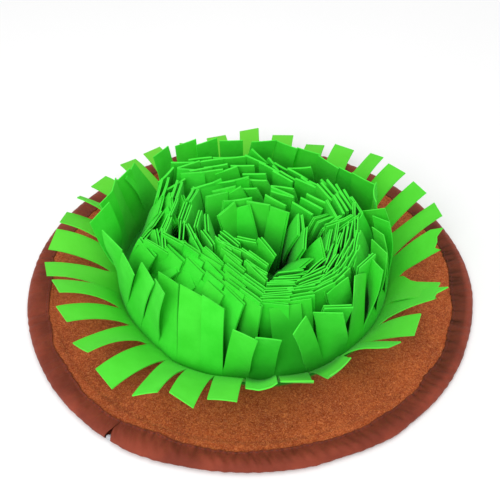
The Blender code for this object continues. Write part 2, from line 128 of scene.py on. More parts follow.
STITCH_RADIUS = 0.00033
STITCH_HEIGHT = 0.0059
STITCH_SIDES = 6
# Sections of a stitch: place along its half length, share of its thickness, and rise.
STITCH_SECTIONS = ((-1.0, 0.15, -0.0005), (-0.8, 0.8, 0.0), (0.0, 1.0, 0.0003), (0.8, 0.8, 0.0),
                   (1.0, 0.15, -0.0005))

# ---- sizes and places of the fringed strips
STRIP_ROWS = 11
INNER_SEAM_RADIUS = 0.1225  # of the first inner strip
CORE_SEAM_RADIUS = 0.0145
CORE_OFFSET = (0.012, -0.014)
STRIP_START = -86.0  # where the ends of a row's strip meet
TAB_LENGTH = 0.075
TAB_WIDTH = 0.0245  # about, in the inner rows
LYING_WIDEST = 0.0255  # in the outermost strip
STANDING_WIDEST = 0.0268
TAB_GAP = 0.0003  # a scissor cut between two tabs
TAB_THICKNESS = 0.0011
LEAF_SPACE = 0.0022  # between the two leaves of a folded strip at its seam
BLEND_LENGTH = 0.016  # a tab takes up its own turn over this length
COLUMNS = 5  # across a tab
# Millimetres along a leaf from its seam at which it bends.
STANDING_STATIONS, LYING_STATIONS = metres((
    (0, 3, 6, 10, 15, 21, 28, 35, 43, 51, 59, 67, 75),
    (0, 2.7, 5.4, 9, 13, 18.5, 25, 31.5, 39, 47, 54.5, 62, 68.5, 75),
), 0)
STANDING_CUT = 2  # last station of the uncut band
SHADE_START = 0.012  # the painted shade at the felt's foot fades from here up
SHADE_LENGTH = 0.056  # over this length
SHADE_FADE = 0.25  # share of a tab over which the painted shade of a neighbour ends
LEAN_GROWTH = (0.55, 1.45)  # a tab's lean at its seam and at its end, as shares of its mean
# Lengths over which tabs take up their twist, their curl and their turn to the side.
TWIST_LENGTH = 0.05
STRONG_TWIST_LENGTH = 0.03  # if their end turns by more than
STRONG_TWIST = 25.0
CURL_LENGTH = 0.04
OUTER_TWIST_LENGTH = 0.06
OUTER_CURL_LENGTH = 0.03
LYING_TURN_LENGTH = 0.02
UPTURN_START = 0.80  # share of a tab from which its end is turned up

# Where the tabs of the inner rows end, from the strips' start round to it again: direction of the
# foot, and in millimetres x and y over which the outermost and the innermost row end.
PILE_PLAN = metres((
    (-86, 10, -112, 16, -70), (-75, 28, -111, 31, -70), (-60, 51, -105, 47, -66),
    (-45, 74, -91, 61, -55), (-30, 88, -67, 64, -40), (-15, 97, -40, 63, -28),
    (0, 101, -12, 62, -15), (15, 104, 13, 58, -3), (30, 92, 38, 49, 2), (45, 76, 58, 41, 6),
    (60, 53, 71, 31, 10), (75, 27, 87, 19, 15), (90, 1, 103, 9, 16), (105, -27, 97, -1, 15),
    (120, -57, 89, -10, 15), (135, -82, 73, -19, 17), (150, -92, 48, -26, 13),
    (165, -85, 22, -29, 1), (180, -93, -14, -30, -12), (195, -99, -45, -26, -23),
    (210, -78, -43, -17, -29), (225, -57, -60, -8, -33), (240, -33, -81, 2, -36),
    (255, -12, -100, 12, -39), (265, 0, -108, 18, -43), (274, 7, -112, 22, -50),
))
# Tabs of the inner rows that stand out of their row's curve, by row and number: x and y over which
# the tab ends in millimetres, and the direction of its end edge.
PLACED_TABS = {
    1: {2: (72, -115, 16), 4: (101, -62, 56), 7: (98, -8, 61), 8: (103, 17, 120), 10: (91, 40, 123),
        11: (81, 54, 136), 12: (51, 81, 180), 14: (28, 89, 128), 15: (11, 102, 150),
        16: (-27, 97, 192), 17: (-52, 92, 192), 18: (-70, 86, 194), 22: (-88, 5, 258),
        23: (-95, -26, 255), 25: (-68, -53, 305), 26: (-50, -66, 314)},
    2: {10: (70, 51, 149), 12: (31, 72, 135), 17: (-75, 50, 226), 19: (-76, 24, 287),
        20: (-74, 9, 295), 21: (-83, -33, 301)},
    3: {6: (91, -10, 36), 12: (-8, 80, 188), 13: (-35, 77, 194), 15: (-62, 71, 189),
        17: (-64, 22, 293), 20: (-54, -45, 322)},
    4: {5: (86, -11, 35), 10: (4, 64, 172), 11: (-24, 69, 198), 13: (-58, 63, 186)},
    5: {4: (80, -12, 34), 6: (65, 23, 154), 7: (32, 44, 160), 8: (6, 56, 160), 9: (-13, 55, 188),
        10: (-27, 51, 187), 11: (-47, 44, 204), 15: (-47, -41, 306), 16: (-32, -56, 325)},
    6: {4: (76, -9, 37), 5: (59, 16, 150), 6: (32, 32, 161), 7: (-4, 43, 171), 13: (-23, -44, 316)},
    7: {1: (59, -65, 54), 3: (71, -6, 42), 4: (50, 9, 143), 6: (-19, 36, 197), 8: (-33, 32, 212),
        10: (-37, -33, 304)},
    8: {1: (64, -43, 107), 2: (68, 1, 44), 3: (51, -12, 98), 4: (25, 21, 155), 5: (-10, 22, 189),
        6: (-16, 22, 210), 8: (-22, -39, 311), 9: (1, -57, 322)},
    9: {0: (41, -67, 30), 1: (50, -31, 96), 2: (45, -12, 96), 3: (8, 16, 168), 5: (-18, -33, 315),
        6: (16, -44, 314)},
    10: {0: (49, -54, 53), 1: (28, 8, 149), 2: (-10, 14, 176), 3: (-4, -35, 340)},
}
# How far each inner row's tabs end on the way from the outermost row's place to the innermost's.
ROW_SHARES = (0.0, 0.07, 0.21, 0.29, 0.45, 0.53, 0.67, 0.76, 0.92, 1.0)
CLOSED_SIDE = 85.0  # direction round which the two leaves of a strip stand together
CLOSED_REACH = 60.0  # degrees to either side
CLOSED_FADE = 40.0  # degrees over which they part
LEAF_PITCH = 0.00125  # between the two leaves of a strip where they stand against each other
LOUVRE = 4.0  # least twist of neighbouring tabs past each other, in degrees
LOUVRE_GROWTH = 26.0  # more where they have no room side by side
MOST_TURN = 60.0  # degrees that a tab's end turns out of its seam's direction
# What the two leaves of a strip share at one tab: shift of its end outwards, gap between the ends,
# twist in degrees, curl in 1/m and skew of the end.
PAIR_RANGES = ((-0.0016, 0.0016), (0.0018, 0.0038), (-4.0, 4.0), (-6.0, 8.0), (-0.10, 0.10))
ROW_TURN = 359.0  # degrees that the tabs of a row take up

# Distance of the outermost seam from the middle in millimetres, by direction.
OUTER_SEAM = metres((
    (-154, 130), (-140, 129), (-129, 130), (-119, 134), (-100, 135), (-80, 139), (-50, 136),
    (-20, 137), (10, 140), (40, 142), (90, 141), (135, 138), (175, 133),
))
# Lying tabs of the outermost strip. Direction where the tab begins; in degrees its slope, its turn
# to the side, its twist and its bow; the skew of its end; the curl across it in 1/m; the degrees
# its end is turned up; the last station at which it is joined to the tab before it.
LYING_TABS = (
    (-176.6, 22, -10, -14, 22, -0.3, 0, 0, 2), (-164.7, 39, -2, -15, 22, -0.11, 4, 0, 2),
    (-154, 34, -5, -2, 22, -0.14, 0, 0, 2), (-144, 30, 2, -21, 22, -0.01, -10, 0, 2),
    (-132, 26, 7, 4, 22, 0.19, 0, 0, 2), (-121.4, 33, 7, -25, 22, -0.22, 6, 0, 2),
    (-112, 37, 5, 8, 22, 0.35, 0, 0, 2), (-102.3, 42, 4, -19, 22, 0.4, 8, 0, 2),
    (-91.5, 50, 1, -12, 10, 0.14, -40, 0, 2), (-80.8, 50, -11, 15, 16, -0.05, 0, 35, 2),
    (-69.5, 51, -11, -15, 10, -0.44, -15, 30, 2), (-58, 49, 4, 18, 14, -0.5, 0, 10, 3),
    (-46.5, 50, 0, -11, 8, -0.27, 0, 0, 3), (-35.1, 52, 3, 7, 8, -0.24, 0, 0, 3),
    (-22.6, 51, -26, 18, 8, -0.62, 0, 0, 3), (-9.7, 61, -12, -13, 6, -0.29, 0, 0, 5),
    (3.8, 44, 4, 10, 10, 0.05, 0, 0, 2), (15.5, 52, -2, 7, 10, -0.12, 0, 0, 3),
    (26.5, 56, -3, 5, 22, -0.15, 0, 0, 3), (38, 58, -9, 30, 22, -0.1, 0, 0, 2),
    (48.5, 27, 9, 6, 22, 0.23, 0, 0, 2), (60, 17, 7, 20, 22, 0.4, 0, 0, 2),
    (71, 24, 3, 5, 22, 0, 0, 0, 2), (84.5, 31, 1, 29, 22, 0.32, 0, 0, 2),
    (95.3, 22, 0, -12, 22, -0.4, 0, 0, 2), (106.5, 19, -5, -28, 22, -0.4, 0, 0, 2),
    (117.5, 26, 3, -9, 22, -0.2, 0, 0, 2), (128.5, 24, -2, -16, 22, -0.23, 0, 0, 2),
    (139.5, 22, 0, -5, 22, -0.05, 0, 0, 2), (150.5, 42, 12, -42, 22, -0.03, 0, 0, 2),
    (161.5, 34, 4, -18, 22, -0.01, 0, 0, 2), (172.5, 28, -4, 14, 22, 0.07, 0, 0, 2),
)
# Standing tabs of the same strip: columns as above without the last two, and with the lean
# outwards in place of the slope.
STANDING_TABS = (
    (-176.5, -1, 11, -36, 0, -0.19, 0), (-165, -6, 17, -10, 0, 0.17, 4),
    (-154, -11, 12, 5, 0, 0.24, 4), (-140.5, -8, 8, 23, 0, 0.4, 0),
    (-129, -22, -17, 2, 0, -0.38, 4), (-118.5, -23, -6, -10, 0, -0.4, 4),
    (-109, -17, -2, 10, 0, -0.38, 4), (-100, 7, 8, 22, 0, 0.28, 4), (-90.5, 9, 4, -2, 10, -0.35, 4),
    (-81.5, -16, 0, 5, 0, 0, 0), (-69.5, 0, -15, -15, 0, 0.25, 8), (-62, 0, -11.5, 55, 0, 0.25, 0),
    (-51, -12, 11, -15, 0, -0.22, 16), (-41, -8, 9, -56, 8, 0.05, 10), (-30, -10, 6, -46, 8, 0, 0),
    (-18, -14, 5, -40, 0, 0, 0), (-9, -12, 3, -48, 0, 0, 0), (0, -16, -2, -55, 0, -0.3, 0),
    (12, -10, -4, 25, 0, 0, 30), (25, -10, -8, -20, 0, 0, 6), (38, -14, -14, -2, 0, -0.4, 4),
    (49, -16, -11, 10, 0, -0.19, 4), (60, -13, -9, 7, 0, -0.32, 4), (71, -12, -8, 26, 0, -0.4, 4),
    (82, -11, -7.5, -6, 0, -0.22, 4), (93, -10, 2, 8, 0, 0, 4), (103.5, -6, 4, -10, 0, 0.1, 4),
    (114, 0, 2, 10, 0, -0.1, 4), (124, 2, 6, -14, 0, 0.1, 4), (134, 5, 18, -29, 0, 0.35, 4),
    (145, 6, 8, 12, 0, 0, 4), (154, 7, 4, -14, 0, 0, 4), (163.5, 7, 2, 20, 0, 0, 4),
    (172.5, 8, 1, 55, 0, -0.4, 0),
)

# Painted shade on that strip's tabs that neighbours shade: direction, depth, and share of the tab
# in it.
SHADED_STANDING = ((-75.5, 0.45, 1), (-86, 0.25, 0.45), (-57, 0.1, 0.5))
SHADED_LYING = ((-86, 0.55, 0.75), (-75, 0.5, 0.8), (-64, 0.55, 0.7), (-52, 0.15, 0.5))
# Torn ends of lying tabs: direction, and how many millimetres longer the tab is at each line
# along it.
TORN_ENDS = metres((
    (-86, 1, -1, 1, 0, 1, 0), (-29, 0, 0, 1, 12, 1, 0), (-16, 3, 0, 2, 0, 1, 2),
    (-3, 1, -4, 1, 3, 13, 0),
))
SEED = 11


# ---- small helpers
def mix(start, end, share):
    return start + (end - start) * share


def smooth(share):
    share = min(1.0, max(0.0, share))
    return share * share * (3.0 - 2.0 * share)


def turn_between(direction, middle):
    """Turn from one direction to the other, from -180 to 180 degrees."""
    return (direction - middle + 180.0) % 360.0 - 180.0


def bump_at(direction, middle, half_width):
    return math.exp(-((turn_between(direction, middle) / half_width) ** 2))


def read_round(table, direction, column):
    """A column of a table whose first column is the direction, read round a full turn."""
    direction = (direction + 180.0) % 360.0 - 180.0
    rows = [(table[-1][0] - 360.0, *table[-1][1:]), *table, (table[0][0] + 360.0, *table[0][1:])]
    for low, high in zip(rows, rows[1:]):
        if low[0] <= direction <= high[0]:
            share = (direction - low[0]) / (high[0] - low[0])
            return mix(low[column], high[column], smooth(share))
    return table[0][column]


def polar(radius, direction, height, middle=(0.0, 0.0)):
    turn = math.radians(direction)
    return np.array((middle[0] + radius * math.cos(turn),
                     middle[1] + radius * math.sin(turn), height))


def link(name, data):
    thing = bpy.data.objects.new(name, data)
    bpy.context.scene.collection.objects.link(thing)
    return thing


def add_mesh(name, corners, faces, material, sharp_from, tints=None, rims=None, painted_shades=None):
    """A smooth mesh with edges sharp from an angle on, and the numbers its material reads."""
    mesh = bpy.data.meshes.new(name)
    mesh.from_pydata([tuple(corner) for corner in corners], [], faces)
    mesh.update()
    mesh.materials.append(material)
    mesh.shade_smooth()
    mesh.set_sharp_from_angle(angle=math.radians(sharp_from))
    for word, values, domain in (("tint", tints, "POINT"), ("rim", rims, "FACE"),
                                 ("painted_shade", painted_shades, "POINT")):
        if values is not None:
            layer = mesh.attributes.new(word, "FLOAT", domain)
            layer.data.foreach_set("value", np.asarray(values, dtype=np.float32))
    return link(name, mesh)


def thicken(corners, faces, thickness):
    """Both skins of a sheet given by its middle, and the rim that closes them.

    Returns corners, faces and, for each face, 1 on the rim and 0 on a skin.
    """
    corners = np.asarray(corners, dtype=float)
    normals = np.zeros_like(corners)
    for face in faces:
        a, b, c, d = (corners[at] for at in (face[0], face[1], face[2], face[-1]))
        across = np.cross(c - a, d - b)
        for at in face:
            normals[at] += across
    lengths = np.linalg.norm(normals, axis=1)
    normals /= np.where(lengths > 0, lengths, 1.0)[:, None]
    count = len(corners)
    both = np.vstack((corners + normals * thickness / 2, corners - normals * thickness / 2))
    edges = {edge: True for face in faces for edge in zip(face, (*face[1:], face[0]))}
    rims = [(ahead, here, here + count, ahead + count)
            for here, ahead in edges if (ahead, here) not in edges]
    skins = faces + [tuple(at + count for at in reversed(face)) for face in faces]
    return both, skins + rims, [0.0] * len(skins) + [1.0] * len(rims)


# ---- materials
class Nodes:
    """Short calls for a material's nodes."""

    def __init__(self, name, roughness, sheen=0.0, sheen_roughness=0.5, specular=0.3):
        self.material = bpy.data.materials.new(name)
        self.material.use_nodes = True
        self.tree = self.material.node_tree
        self.shader = self.tree.nodes["Principled BSDF"]
        for given, entry in ((roughness, "Roughness"), (sheen, "Sheen Weight"),
                             (sheen_roughness, "Sheen Roughness"),
                             (specular, "Specular IOR Level")):
            self.join(given, self.shader.inputs[entry])
        self.place = self.add("ShaderNodeTexCoord").outputs["Object"]

    def add(self, kind, numbers=None, **settings):
        """A new node with its settings and the numbers of its inputs."""
        node = self.tree.nodes.new(kind)
        for key, value in settings.items():
            setattr(node, key, value)
        for key, number in (numbers or {}).items():
            node.inputs[key].default_value = number
        return node

    def join(self, given, entry):
        """Joins an output to an entry, or sets the entry to a number or colour."""
        if isinstance(given, float):
            entry.default_value = given
        elif isinstance(given, tuple):
            entry.default_value = (*given, 1.0)
        else:
            self.tree.links.new(given, entry)

    def texture(self, kind, output, numbers, **settings):
        node = self.add(kind, numbers, **settings)
        self.join(self.place, node.inputs["Vector"])
        return node.outputs[output]

    def noise(self, scale, detail=3.0, roughness=0.55, distortion=0.0):
        return self.texture("ShaderNodeTexNoise", "Fac",
                            {"Scale": scale, "Detail": detail, "Roughness": roughness,
                             "Distortion": distortion})

    def cells(self, scale, randomness):
        return self.texture("ShaderNodeTexVoronoi", "Distance",
                            {"Scale": scale, "Randomness": randomness}, feature="F1")

    def wave(self, scale, direction, distortion=0.0):
        return self.texture("ShaderNodeTexWave", "Fac", {"Scale": scale, "Distortion": distortion},
                            wave_type="BANDS", bands_direction=direction)

    def value(self, name):
        """A number that the mesh carries at its corners or faces."""
        return self.add("ShaderNodeAttribute", attribute_name=name).outputs["Fac"]

    def ramp(self, entry, low, high, start=0.0, end=1.0):
        """Reads a value between low and high as a value between start and end."""
        node = self.add("ShaderNodeMapRange", {"From Min": low, "From Max": high,
                                               "To Min": start, "To Max": end})
        self.join(entry, node.inputs["Value"])
        return node.outputs["Result"]

    def product(self, first, second):
        node = self.add("ShaderNodeMath", operation="MULTIPLY")
        self.join(first, node.inputs[0])
        self.join(second, node.inputs[1])
        return node.outputs["Value"]

    def blend(self, share, first, second):
        node = self.add("ShaderNodeMix", data_type="RGBA")
        for given, entry in ((share, "Factor"), (first, 6), (second, 7)):
            self.join(given, node.inputs[entry])
        return node.outputs[2]

    def colour(self, base, *layers):
        """A base colour, and the colours over it with their shares."""
        for share, colour in layers:
            base = self.blend(share, base, colour)
        self.join(base, self.shader.inputs["Base Color"])

    def bump(self, height, distance, strength, under=None):
        node = self.add("ShaderNodeBump", {"Distance": distance, "Strength": strength})
        self.join(height, node.inputs["Height"])
        if under is not None:
            self.join(under, node.inputs["Normal"])
        return node.outputs["Normal"]

    def finish(self, normal):
        self.join(normal, self.shader.inputs["Normal"])
        return self.material


def green_felt():
    felt = Nodes("green_felt", roughness=0.9, sheen=0.06, sheen_roughness=0.4, specular=0.08)
    fibres = felt.noise(1500.0, detail=4.0, roughness=0.6)
    cloud = felt.ramp(felt.noise(55.0), 0.35, 0.65)
    felt.colour(felt.blend(cloud, (0.036, 0.7, 0.03), (0.052, 0.77, 0.042)),
                (felt.value("tint"), (0.16, 0.6, 0.045)),
                (felt.ramp(fibres, 0.55, 0.75, 0.0, 0.30), (0.09, 0.83, 0.08)),
                # painted highlight: the felt's cut edges lighter, as where they catch the light
                (felt.product(felt.value("rim"), 0.20), (0.13, 0.9, 0.11)),
                # painted shade: darker green at the foot of the strips and on tabs in their
                # neighbours' shade
                (felt.value("painted_shade"), (0.006, 0.18, 0.012)))
    return felt.finish(felt.bump(fibres, 0.00035, 0.6))


def brown_felt():
    felt = Nodes("brown_felt", roughness=0.95, sheen=0.06, specular=0.08)
    cloud = felt.ramp(felt.noise(28.0), 0.35, 0.65)
    speckle = felt.noise(380.0, detail=5.0, roughness=0.75, distortion=1.6)
    fibre = felt.noise(800.0, detail=4.0, roughness=0.7, distortion=2.5)
    felt.colour(felt.blend(cloud, (0.32, 0.051, 0.013), (0.425, 0.075, 0.017)),
                (felt.ramp(speckle, 0.50, 0.66, 0.0, 0.85), (0.73, 0.2, 0.056)),
                (felt.ramp(speckle, 0.34, 0.48, 0.95, 0.0), (0.17, 0.024, 0.005)),
                (felt.ramp(fibre, 0.54, 0.66, 0.0, 0.95), (0.8, 0.29, 0.13)),
                # painted shade: dark green on the felt under the fringe, where the strips shade it
                (felt.value("tint"), (0.02, 0.3, 0.02)))
    coarse = felt.bump(speckle, 0.0009, 0.7)
    return felt.finish(felt.bump(fibre, 0.0004, 0.6, coarse))


def rim_nylon():
    cloth = Nodes("rim_nylon", roughness=0.5, sheen=0.02, specular=0.14)
    cloud = cloth.ramp(cloth.noise(40.0), 0.35, 0.65)
    weave = cloth.product(cloth.wave(900.0, "X", 1.0), cloth.wave(900.0, "Y", 1.0))
    cloth.colour(cloth.blend(cloud, (0.188, 0.032, 0.016), (0.285, 0.051, 0.025)),
                 (cloth.ramp(weave, 0.2, 0.8, 0.0, 0.25), (0.3, 0.066, 0.034)),
                 # painted shade: the binding darker on its inner part, on its sides and in its
                 # creases
                 (cloth.value("painted_shade"), (0.062, 0.012, 0.002)))
    crease = cloth.noise(300.0, detail=4.0, distortion=0.6)
    return cloth.finish(cloth.bump(weave, 0.0002, 0.5, cloth.bump(crease, 0.0006, 0.5)))


def plain_material(name, colour, roughness, scale):
    cloth = Nodes(name, roughness=roughness)
    grain = cloth.noise(scale, detail=4.0)
    dark = tuple(0.8 * part for part in colour)
    cloth.colour(cloth.blend(cloth.ramp(grain, 0.3, 0.7), dark, colour))
    return cloth.finish(cloth.bump(grain, 0.0003, 0.5))


def grip_cloth():
    cloth = Nodes("grip_cloth", roughness=0.8)
    fibre = cloth.noise(700.0, detail=4.0)
    dots = cloth.cells(420.0, randomness=0.7)
    fibre = cloth.ramp(fibre, 0.3, 0.7)
    cloth.colour(cloth.blend(fibre, (0.05, 0.058, 0.09), (0.11, 0.125, 0.175)),
                 (cloth.ramp(dots, 0.18, 0.26, 1.0, 0.0), (0.01, 0.012, 0.022)))
    return cloth.finish(cloth.bump(dots, 0.0006, 0.6))


def cord_braid():
    cord = Nodes("cord_braid", roughness=0.55, sheen=0.2)
    braid = cord.product(cord.wave(520.0, "DIAGONAL"), cord.wave(640.0, "Z"))
    cord.colour(cord.blend(braid, (0.42, 0.42, 0.45), (0.78, 0.78, 0.80)))
    return cord.finish(cord.bump(braid, 0.0004, 0.8))


# ---- base sheets
def sheet_height(radius, low, high):
    """Height of a sheet that lies over the patch, drops and climbs onto the binding's flap."""
    outward = smooth((radius - PATCH_RADIUS) / STEP_LENGTH)
    back = smooth((radius - FLAP_EDGE + STEP_LENGTH) / STEP_LENGTH)
    return mix(high, low, outward) + (high - low) * back


def ring_quads(first, second, count):
    """Quads between two rings of corners."""
    return [(first + at, second + at, second + (at + 1) % count, first + (at + 1) % count)
            for at in range(count)]


def round_sheet(name, radii, sectors, top_at, thickness, material, tint_at=None):
    """A closed disc of cloth with its top at a height given by x and y."""
    corners = [(0.0, 0.0, top_at(0.0, 0.0))]
    for radius in radii:
        for sector in range(sectors):
            x, y, _ = polar(radius, 360.0 * sector / sectors, 0.0)
            corners.append((x, y, top_at(x, y)))
    faces = [(0, 1 + at, 1 + (at + 1) % sectors) for at in range(sectors)]
    for ring in range(len(radii) - 1):
        first = 1 + ring * sectors
        faces += ring_quads(first, first + sectors, sectors)
    count = len(corners)
    corners += [(x, y, z - thickness) for x, y, z in corners]
    bottom = [tuple(at + count for at in reversed(face)) for face in faces]
    rims = ring_quads(count - sectors, 2 * count - sectors, sectors)
    tints = [tint_at(x, y) for x, y, _ in corners] if tint_at else None
    return add_mesh(name, corners, faces + bottom + rims, material, 60.0, tints)


def fringe_shade_at(x, y):
    """Share of painted shade: 1 on the felt that the strips stand on, 0 clear of the outermost
    seam.
    """
    seam = read_round(OUTER_SEAM, math.degrees(math.atan2(y, x)), 1)
    return smooth((seam + 0.0045 - math.hypot(x, y)) / 0.002)


def build_base():
    chance = random.Random(SEED)
    waves = [(chance.uniform(-90, 90), chance.uniform(-90, 90), chance.uniform(0, 6.28))
             for _ in range(7)]
    radii = [0.02, 0.05, 0.08, 0.10, *np.linspace(0.112, SHEET_RADIUS, 52)]

    def felt_top(x, y):
        """Uneven by the sum of a few long waves where the felt lies free."""
        radius = math.hypot(x, y)
        free = smooth((radius - FREE_FELT[0]) / FREE_FADE)
        free *= smooth((FREE_FELT[1] - radius) / FREE_FADE)
        wave = sum(math.sin(x * fx + y * fy + phase) for fx, fy, phase in waves) / len(waves)
        rise = FELT_UNEVENNESS * (wave * 0.5 + 0.35) * free
        return sheet_height(radius, FELT_LOW_TOP, FELT_HIGH_TOP) + rise

    def nylon_top(x, y):
        radius = math.hypot(x, y)
        return sheet_height(radius, NYLON_THICKNESS, PATCH_TOP + SEAT_GAP + NYLON_THICKNESS)

    felt = round_sheet("felt_disc", radii, 240, felt_top, FELT_THICKNESS, brown_felt(),
                       fringe_shade_at)
    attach(felt, "root")
    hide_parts("felt_sheet")
    nylon = round_sheet("nylon_disc", radii, 160, nylon_top, NYLON_THICKNESS,
                        plain_material("under_nylon", (0.36, 0.09, 0.035), 0.5, 600.0))
    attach(nylon, "root")
    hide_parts("nylon_sheet")
    grip = round_sheet("grip_disc", [0.03, 0.06, 0.09, 0.11, PATCH_RADIUS], 160,
                       lambda x, y: PATCH_TOP, PATCH_TOP, grip_cloth())
    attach(grip, "root")
    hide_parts("grip_patch")


# ---- binding, stitches, drawstring
class Ripple:
    """A seeded wave round the rim, the sum of waves that each close on themselves."""

    def __init__(self, chance, lowest, highest, count):
        self.parts = [(chance.randint(lowest, highest), chance.uniform(0, 2 * math.pi),
                       chance.uniform(0.5, 1.0)) for _ in range(count)]
        self.total = math.sqrt(sum(weight * weight for *_, weight in self.parts))

    def at(self, direction, slant=0.0):
        turn = math.radians(direction)
        wave = sum(weight * math.sin(times * turn + phase + slant * times * 0.02)
                   for times, phase, weight in self.parts)
        return wave / self.total


def crease_lines(chance):
    """Short creases that run outwards from the gathered cloth's sewn edge."""
    lines = []
    direction = -180.0
    while direction < 180.0:
        direction += chance.uniform(1.0, 4.0)
        strong = max(bump_at(direction, -15.0, 50.0), bump_at(direction, -100.0, 22.0))
        strong = 0.25 + 0.75 * strong
        lines.append((direction, chance.uniform(0.30, 0.75), chance.uniform(0.35, 1.0),
                      chance.uniform(-1.5, 1.5), strong * chance.uniform(0.3, 1.0)))
    return lines


def crease_depth(lines, direction, outward):
    """Depth from 0 to 1 at a share of the way from the sewn edge to the rim."""
    total = 0.0
    for middle, half_width, reach, slant, strength in lines:
        line = bump_at(direction, middle + slant * outward, half_width * (0.6 + 0.8 * outward))
        total += strength * line * (1.0 - smooth(outward / reach))
    return min(1.0, total)


def notch_setback(inset):
    """Half the opening between the binding's two ends, at a distance in from the rim."""
    opening = max(0.0, 1.0 - inset / NOTCH_DEPTH)
    return (SEAM_SLIT + (NOTCH_WIDTH - SEAM_SLIT) * opening) / 2


def seam_sway(puckers, seam, direction):
    """How far the binding's seam lies inside its outline."""
    return SEAM_SWAY * (seam.at(direction) + puckers.at(direction + 1.0))


def build_binding():
    chance = random.Random(SEED + 1)
    puckers = Ripple(chance, 90, 170, 9)
    gathers = Ripple(chance, 230, 420, 9)
    folds = Ripple(chance, 18, 60, 8)
    swell = Ripple(chance, 3, 14, 5)
    seam = Ripple(chance, 10, 46, 6)
    creases = crease_lines(chance)
    corners, painted_shades = [], []
    count = len(BINDING_PROFILE)
    width = BINDING_PROFILE[0][0]
    for step in range(BINDING_STEPS + 1):
        share = step / BINDING_STEPS
        direction = NOTCH_DIRECTION + 360.0 * share
        tight = 0.35 + 0.65 * smooth(0.5 + swell.at(direction))
        near = [line for line in creases if abs(turn_between(direction, line[0])) < 4.0]
        rim, sewn = (read_round(BINDING_OUTLINE, direction, column) for column in (1, 2))
        # painted shade on the binding's top: its inner part darker towards the right, all of it a
        # little darker on the left
        shade = 0.62 * bump_at(direction, -8.0, 42.0)
        left_side_shade = 0.15 * bump_at(direction, -170.0, 50.0)
        for number, (inset, height) in enumerate(BINDING_PROFILE):
            lift = dark = sway = 0.0
            if number <= LAST_ON_TOP:
                crown = math.exp(-(((inset - CROWN[0]) / CROWN[1]) ** 2))
                near_seam = math.exp(-(((inset - SEAM_DIP[0]) / SEAM_DIP[1]) ** 2))
                slant = inset * PUCKER_SLANT
                crease = crease_depth(near, direction, 1.0 - inset / width)
                lift = crown * (PUCKER_LIFT * puckers.at(direction, slant)
                                + GATHER_LIFT * tight * gathers.at(direction, slant)
                                + FOLD_LIFT * folds.at(direction, slant * 2.0))
                lift += near_seam * SEAM_LIFT * puckers.at(direction)
                lift -= CREASE_DEPTH * crease * (1.0 - 0.6 * near_seam)
                # painted shade: the side shades above, and darker in the creases
                dark = left_side_shade + shade * smooth((inset - 0.0045) / 0.0050) + 0.7 * crease
                sway = -near_seam * seam_sway(puckers, seam, direction)
            if RIM_POINTS[0] <= number <= RIM_POINTS[1]:
                sway += RIM_SWAY * (puckers.at(direction) + 0.4 * folds.at(direction))
            painted_shades.append(min(1.0, dark))
            radius = RIM_RADIUS - inset
            if number < FIRST_BELOW:
                radius = mix(rim, sewn, inset / width) + sway
            setback = math.degrees(notch_setback(inset) / radius)
            at = mix(NOTCH_DIRECTION + setback, NOTCH_DIRECTION + 360.0 - setback, share)
            corners.append(polar(radius, at, height + lift))
    faces = []
    for step in range(BINDING_STEPS):
        for number in range(count - 1):
            here = step * count + number
            faces.append((here, here + 1, here + count + 1, here + count))
    corners, faces, _ = thicken(corners, faces, BINDING_CLOTH)
    binding = add_mesh("binding_cloth", corners, faces, rim_nylon(), 70.0, painted_shades=painted_shades * 2)
    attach(binding, "root")
    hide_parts("rim_binding")
    build_stitches(puckers, seam)


def tube_faces(first, rings, sides, turned):
    """Faces of a closed tube of rings of corners, one way round or turned."""
    faces = []
    for ring in range(rings - 1):
        here = first + ring * sides
        for quad in ring_quads(here, here + sides, sides):
            faces.append((quad[0], *quad[:0:-1]) if turned else quad)
    last = first + (rings - 1) * sides
    ends = tuple(range(first, first + sides)), tuple(range(last, last + sides))
    return faces + [end[::-1] if number != turned else end for number, end in enumerate(ends)]


def build_stitches(puckers, seam):
    corners, faces = [], []
    share = STITCH_INSET / BINDING_PROFILE[0][0]
    count = int(2 * math.pi * (RIM_RADIUS - STITCH_INSET) / STITCH_PITCH)
    for stitch in range(count):
        middle = NOTCH_DIRECTION + 360.0 * (stitch + 0.5) / count
        radius = mix(*(read_round(BINDING_OUTLINE, middle, column) for column in (1, 2)), share)
        half = math.degrees(STITCH_LENGTH / 2 / radius)
        first = len(corners)
        for along, size, rise in STITCH_SECTIONS:
            direction = middle + half * along
            middle_radius = radius - seam_sway(puckers, seam, direction)
            height = STITCH_HEIGHT + SEAM_LIFT * puckers.at(direction) + rise
            for side in range(STITCH_SIDES):
                turn = 2 * math.pi * side / STITCH_SIDES
                corners.append(polar(middle_radius + STITCH_RADIUS * size * math.cos(turn),
                                     direction, height + STITCH_RADIUS * size * math.sin(turn)))
        faces += tube_faces(first, len(STITCH_SECTIONS), STITCH_SIDES, True)
    stitches = add_mesh("rim_stitches", corners, faces,
                        plain_material("rim_thread", (0.15, 0.035, 0.024), 0.6, 900.0), 60.0)
    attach(stitches, "root")


